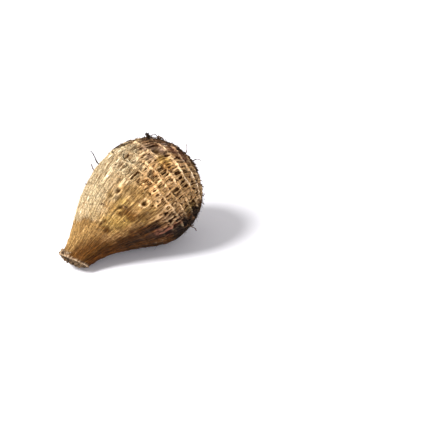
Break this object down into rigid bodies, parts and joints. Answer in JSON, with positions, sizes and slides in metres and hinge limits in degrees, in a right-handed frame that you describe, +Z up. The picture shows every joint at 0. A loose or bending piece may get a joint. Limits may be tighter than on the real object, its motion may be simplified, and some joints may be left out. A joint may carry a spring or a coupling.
{
  "type": "taro root",
  "caption": "Whole dried-skin taro corm lying on its side: narrow crusted scar end, ringed and ribbed round body, wiry rootlets.",
  "frame": {"origin": "on the surface it lies on, under the middle of its bounding box", "axes": "+X along the corm from its narrow scar end to its crown, +Z up, as it lies on its side"},
  "size_m": [0.1292, 0.0912, 0.0878],
  "materials": {
    "corm_skin": "dry fibrous bark-like skin, straw to dark brown, matte"
  },
  "bodies": {
    "root": {"taro_corm": "corm_skin"}
  },
  "joints": []
}
